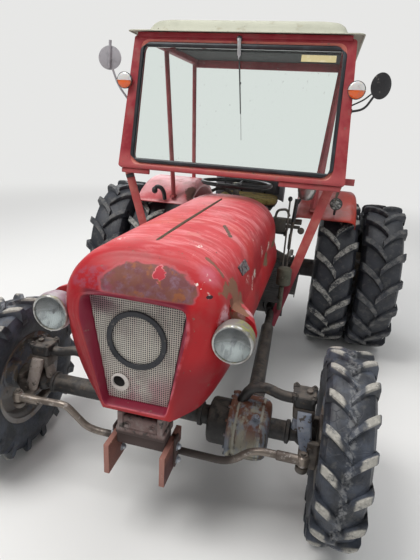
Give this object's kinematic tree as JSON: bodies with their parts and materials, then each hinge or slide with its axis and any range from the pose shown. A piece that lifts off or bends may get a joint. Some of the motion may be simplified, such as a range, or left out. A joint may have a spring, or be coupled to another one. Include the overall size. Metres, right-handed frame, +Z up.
{
  "type": "tractor",
  "caption": "Vintage narrow tractor: rounded hood with a trapezoid mesh grille, windscreen frame and roof, driven front axle, twin rear wheels and a rear three-point hitch.",
  "frame": {"origin": "middle of the bounding box at ground level, with all joints at rest", "axes": "+Z up, -Y the way the tractor drives, +X its left side"},
  "size_m": [2.29, 3.1824, 2.1375],
  "materials": {
    "red_paint": "faded gloss",
    "dark_iron": "greasy",
    "grey_paint": "worn satin",
    "brown_primer": "matt",
    "cream_paint": "satin",
    "black_paint": "satin",
    "mesh_metal": "perforated",
    "steel": "weathered",
    "tyre_rubber": "muddy",
    "seal_rubber": "satin",
    "screen_glass": "clear",
    "lamp_glass": "fluted",
    "amber_plastic": "clear and amber",
    "black_plastic": "satin",
    "seat_leather": "worn"
  },
  "bodies": {
    "tractor": {"engine_block": "dark_iron", "radiator": "black_paint", "gearbox_housing": "dark_iron", "rear_axle_housing": "dark_iron", "front_frame": "dark_iron", "front_plates": "brown_primer", "windscreen_panel": "red_paint", "windscreen_seal": "seal_rubber", "windscreen_glass": "screen_glass", "cab_posts": "red_paint", "cab_struts": "red_paint", "cab_roof": "cream_paint", "wiper": "black_paint", "indicator_lamps": "amber_plastic", "mirrors": "black_plastic", "fenders": "red_paint", "fender_lamps": "black_plastic", "footboards": "black_paint", "seat_frame": "steel", "seat_cushions": "seat_leather", "dash_panel": "black_paint", "controls": "black_paint", "front_axle": "dark_iron", "prop_shaft": "dark_iron", "hitch_frame": "dark_iron", "exhaust": "steel"},
    "hood": {"hood": "red_paint", "grille_mesh": "mesh_metal", "grille_ring": "black_paint", "headlamp_bowls": "red_paint", "headlamp_lenses": "lamp_glass"},
    "knuckle_left": {"knuckle_left": "grey_paint"},
    "knuckle_right": {"knuckle_right": "grey_paint"},
    "front_wheel_left": {"front_tyre_left": "tyre_rubber", "front_rim_left": "grey_paint"},
    "front_wheel_right": {"front_tyre_right": "tyre_rubber", "front_rim_right": "grey_paint"},
    "rear_wheels_left": {"rear_tyre_left": "tyre_rubber", "rear_rim_left": "grey_paint"},
    "rear_wheels_right": {"rear_tyre_right": "tyre_rubber", "rear_rim_right": "grey_paint"},
    "tie_rod": {"tie_rod": "steel"},
    "steering_wheel": {"steering_wheel": "black_plastic"},
    "lower_links": {"lower_links": "steel"},
    "lift_arms": {"lift_arms": "dark_iron"},
    "lift_rods": {"lift_rods": "steel"}
  },
  "joints": [
    {"name": "hood_open", "type": "hinge", "parent": "tractor", "child": "hood", "pos_m": [0, -0.1415, 1.152], "axis": [-1, 0, 0], "range_deg": [0, 30]},
    {"name": "steer_left", "type": "hinge", "parent": "tractor", "child": "knuckle_left", "pos_m": [0.616, -1.2035, 0.388], "axis": [0, 0, 1], "range_deg": [-30, 30]},
    {"name": "steer_right", "type": "hinge", "parent": "tractor", "child": "knuckle_right", "pos_m": [-0.616, -1.2035, 0.388], "axis": [0, 0, 1], "range_deg": [-30, 30]},
    {"name": "tie_rod_swing", "type": "hinge", "parent": "knuckle_left", "child": "tie_rod", "pos_m": [0.616, -1.3835, 0.41], "axis": [0, 0, 1], "range_deg": [-30, 30]},
    {"name": "front_spin_left", "type": "hinge", "parent": "knuckle_left", "child": "front_wheel_left", "pos_m": [0.756, -1.2035, 0.388], "axis": [1, 0, 0], "continuous": true},
    {"name": "front_spin_right", "type": "hinge", "parent": "knuckle_right", "child": "front_wheel_right", "pos_m": [-0.756, -1.2035, 0.388], "axis": [1, 0, 0], "continuous": true},
    {"name": "rear_spin_left", "type": "hinge", "parent": "tractor", "child": "rear_wheels_left", "pos_m": [0.702, 0.6565, 0.543], "axis": [1, 0, 0], "continuous": true},
    {"name": "rear_spin_right", "type": "hinge", "parent": "tractor", "child": "rear_wheels_right", "pos_m": [-0.702, 0.6565, 0.543], "axis": [1, 0, 0], "continuous": true},
    {"name": "steering_wheel_turn", "type": "hinge", "parent": "tractor", "child": "steering_wheel", "pos_m": [0, 0.0965, 1.205], "axis": [0, 0.0349, 0.9994], "range_deg": [-300, 300]},
    {"name": "lower_links_lift", "type": "hinge", "parent": "tractor", "child": "lower_links", "pos_m": [0, 0.8615, 0.4], "axis": [1, 0, 0], "range_deg": [-12, 35]},
    {"name": "lift_arms_lift", "type": "hinge", "parent": "tractor", "child": "lift_arms", "pos_m": [0, 0.8615, 0.76], "axis": [1, 0, 0], "range_deg": [-12, 35]},
    {"name": "lift_rods_swing", "type": "hinge", "parent": "lower_links", "child": "lift_rods", "pos_m": [0, 1.2415, 0.4], "axis": [1, 0, 0], "range_deg": [-35, 12]}
  ],
  "couplings": [
    {"joint": "steer_right", "follows": "steer_left", "ratio": 1},
    {"joint": "tie_rod_swing", "follows": "steer_left", "ratio": -1},
    {"joint": "steering_wheel_turn", "follows": "steer_left", "ratio": 10},
    {"joint": "lift_arms_lift", "follows": "lower_links_lift", "ratio": 1},
    {"joint": "lift_rods_swing", "follows": "lower_links_lift", "ratio": -1}
  ]
}
